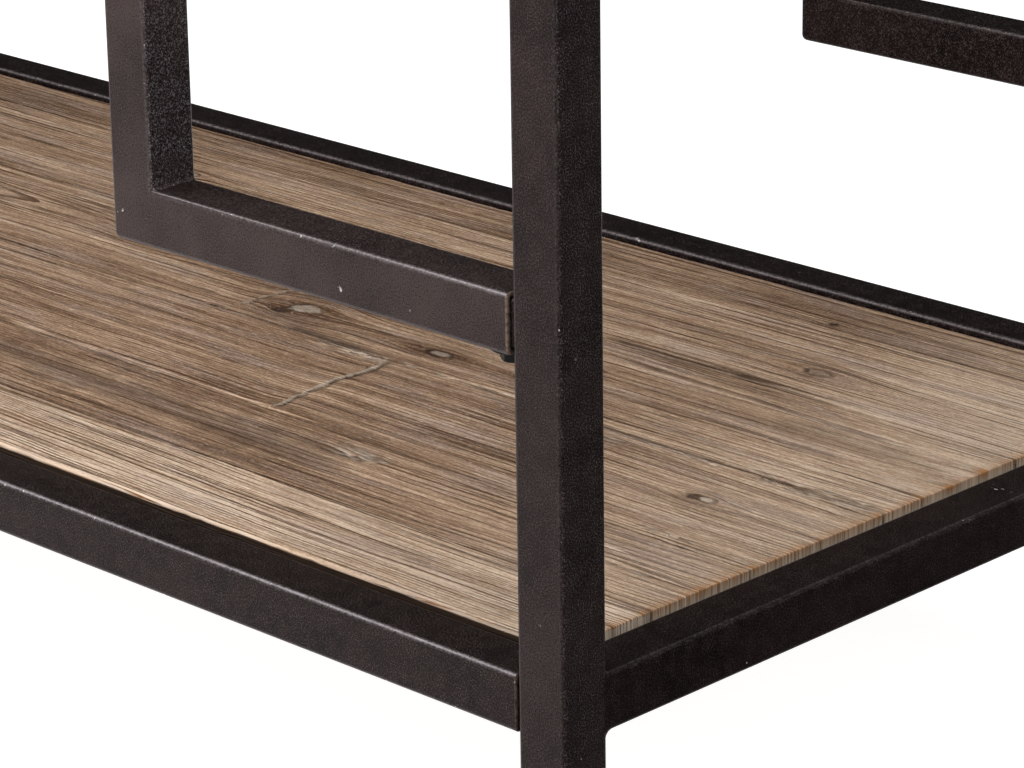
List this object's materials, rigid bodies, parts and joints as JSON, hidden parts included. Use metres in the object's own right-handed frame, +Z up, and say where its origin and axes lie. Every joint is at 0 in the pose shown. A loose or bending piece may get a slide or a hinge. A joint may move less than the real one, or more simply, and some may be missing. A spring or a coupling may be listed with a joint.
{
  "type": "console table",
  "caption": "Long narrow console table of square iron tube with an inset plank top, a low plank shelf and L-shaped side frames.",
  "frame": {"origin": "on the floor under the middle of the table", "axes": "+X along the table to its right end, +Y from the front to the back, +Z up"},
  "size_m": [1.4, 0.464, 0.8],
  "materials": {
    "aged_iron": "dark brown-grey hammered finish with edges rubbed light",
    "black_bolt": "black oxide",
    "weathered_fir": "brushed, weathered, with an open grain and a dry matt surface",
    "plain_steel": "mill scale, dark and matt",
    "zinc_screw": "zinc plated",
    "black_plastic": "moulded, matt"
  },
  "bodies": {
    "root": {"leg_front_right": "aged_iron", "leg_front_left": "aged_iron", "leg_back_right": "aged_iron", "leg_back_left": "aged_iron", "lower_side_rail_right": "aged_iron", "upper_side_rail_right": "aged_iron", "lower_side_rail_left": "aged_iron", "upper_side_rail_left": "aged_iron", "lower_front_rail": "aged_iron", "upper_front_rail": "aged_iron", "lower_back_rail": "aged_iron", "upper_back_rail": "aged_iron", "l_frame_front_right": "aged_iron", "l_frame_front_left": "aged_iron", "l_frame_back_right": "aged_iron", "l_frame_back_left": "aged_iron", "lower_rail_set_screw_front_right": "black_bolt", "lower_rail_set_screw_front_left": "black_bolt", "lower_rail_set_screw_back_right": "black_bolt", "lower_rail_set_screw_back_left": "black_bolt", "l_frame_bolt_front_right": "black_bolt", "l_frame_bolt_front_left": "black_bolt", "l_frame_bolt_back_right": "black_bolt", "l_frame_bolt_back_left": "black_bolt", "upper_rail_bolt_front_right": "black_bolt", "upper_rail_bolt_front_left": "black_bolt", "upper_rail_bolt_back_right": "black_bolt", "upper_rail_bolt_back_left": "black_bolt", "shelf_plank_1": "weathered_fir", "shelf_plank_2": "weathered_fir", "shelf_plank_3": "weathered_fir", "shelf_plank_4": "weathered_fir", "shelf_plank_5": "weathered_fir", "shelf_plank_6": "weathered_fir", "top_plank_1": "weathered_fir", "top_plank_2": "weathered_fir", "top_plank_3": "weathered_fir", "top_plank_4": "weathered_fir", "top_plank_5": "weathered_fir", "shelf_cross_bar_right": "plain_steel", "shelf_cross_bar_middle": "plain_steel", "shelf_cross_bar_left": "plain_steel", "shelf_screw_front_right": "zinc_screw", "shelf_screw_front_left": "zinc_screw", "shelf_screw_back_right": "zinc_screw", "shelf_screw_back_left": "zinc_screw", "top_cross_bar_right": "plain_steel", "top_cross_bar_middle": "plain_steel", "top_cross_bar_left": "plain_steel", "top_screw_front_right": "zinc_screw", "top_screw_front_left": "zinc_screw", "top_screw_back_right": "zinc_screw", "top_screw_back_left": "zinc_screw", "foot_front_right": "black_plastic", "foot_front_left": "black_plastic", "foot_back_right": "black_plastic", "foot_back_left": "black_plastic"}
  },
  "joints": []
}
